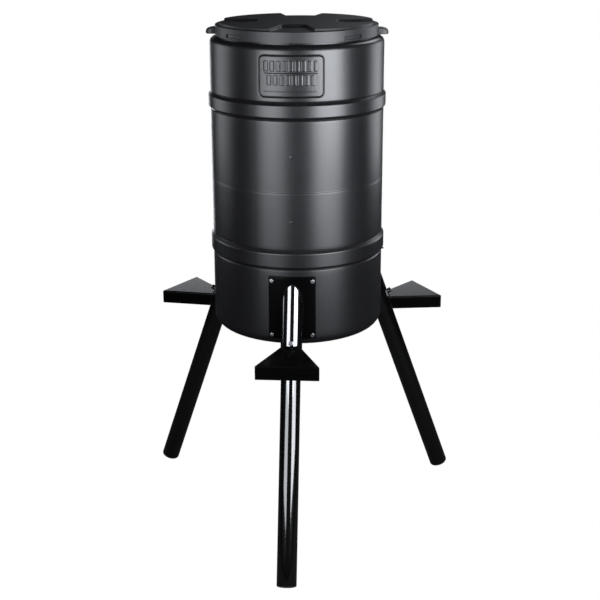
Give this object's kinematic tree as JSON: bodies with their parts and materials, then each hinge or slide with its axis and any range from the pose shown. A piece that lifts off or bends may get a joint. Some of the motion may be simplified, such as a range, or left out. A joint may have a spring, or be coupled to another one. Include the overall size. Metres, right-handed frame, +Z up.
{
  "type": "drum feed hopper on tripod legs",
  "caption": "Tall round plastic drum hopper with a lobed screw lid, on splayed steel tube legs that slip into bolted wall sockets, each with a folded step.",
  "frame": {"origin": "centre of the overall box, at the ground that the feet stand on", "axes": "+Z up along the drum's axis, which is the line x = 0, y = 0.111; -Y towards the front leg; +X to the right"},
  "size_m": [0.8766, 0.7822, 1.37],
  "materials": {
    "drum_plastic": "satin charcoal, blow moulded",
    "lid_plastic": "matt dark grey, fine moulded grain",
    "black_steel": "high gloss black",
    "zinc": "bright zinc plate",
    "rubber": "matt black"
  },
  "bodies": {
    "hopper": {"drum": "drum_plastic", "funnel": "drum_plastic", "spout_nut": "drum_plastic", "lid_ring": "lid_plastic", "cable_plug": "rubber", "feeder_plate": "black_steel", "feeder_plate_screw_1": "zinc", "feeder_plate_screw_2": "zinc", "feeder_plate_screw_3": "zinc", "feeder_plate_screw_4": "zinc", "bracket_plate_front": "black_steel", "socket_front": "black_steel", "step_front": "black_steel", "leg_nut_front": "black_steel", "leg_screw_front": "zinc", "plate_bolt_front_1": "zinc", "plate_nut_front_1": "zinc", "plate_bolt_front_2": "zinc", "plate_nut_front_2": "zinc", "plate_bolt_front_3": "zinc", "plate_nut_front_3": "zinc", "plate_bolt_front_4": "zinc", "plate_nut_front_4": "zinc", "bracket_plate_left": "black_steel", "socket_left": "black_steel", "step_left": "black_steel", "leg_nut_left": "black_steel", "leg_screw_left": "zinc", "plate_bolt_left_1": "zinc", "plate_nut_left_1": "zinc", "plate_bolt_left_2": "zinc", "plate_nut_left_2": "zinc", "plate_bolt_left_3": "zinc", "plate_nut_left_3": "zinc", "plate_bolt_left_4": "zinc", "plate_nut_left_4": "zinc", "bracket_plate_right": "black_steel", "socket_right": "black_steel", "step_right": "black_steel", "leg_nut_right": "black_steel", "leg_screw_right": "zinc", "plate_bolt_right_1": "zinc", "plate_nut_right_1": "zinc", "plate_bolt_right_2": "zinc", "plate_nut_right_2": "zinc", "plate_bolt_right_3": "zinc", "plate_nut_right_3": "zinc", "plate_bolt_right_4": "zinc", "plate_nut_right_4": "zinc"},
    "lid_seal": {"lid_gasket": "rubber"},
    "screw_lid": {"lid": "lid_plastic"},
    "leg_front": {"leg_front": "black_steel", "foot_front": "rubber"},
    "leg_left": {"leg_left": "black_steel", "foot_left": "rubber"},
    "leg_right": {"leg_right": "black_steel", "foot_right": "rubber"}
  },
  "joints": [
    {"name": "lid_lift", "type": "slide", "parent": "hopper", "child": "lid_seal", "axis": [0, 0, 1], "range_m": [0, 0.25]},
    {"name": "lid_turn", "type": "hinge", "parent": "lid_seal", "child": "screw_lid", "pos_m": [0, 0.11092, 1.365], "axis": [0, 0, 1], "range_deg": [0, 270]},
    {"name": "leg_front_pull", "type": "slide", "parent": "hopper", "child": "leg_front", "axis": [0, -0.3608, -0.9326], "range_m": [0, 0.09]},
    {"name": "leg_left_pull", "type": "slide", "parent": "hopper", "child": "leg_left", "axis": [-0.3125, 0.1804, -0.9326], "range_m": [0, 0.09]},
    {"name": "leg_right_pull", "type": "slide", "parent": "hopper", "child": "leg_right", "axis": [0.3125, 0.1804, -0.9326], "range_m": [0, 0.09]}
  ]
}
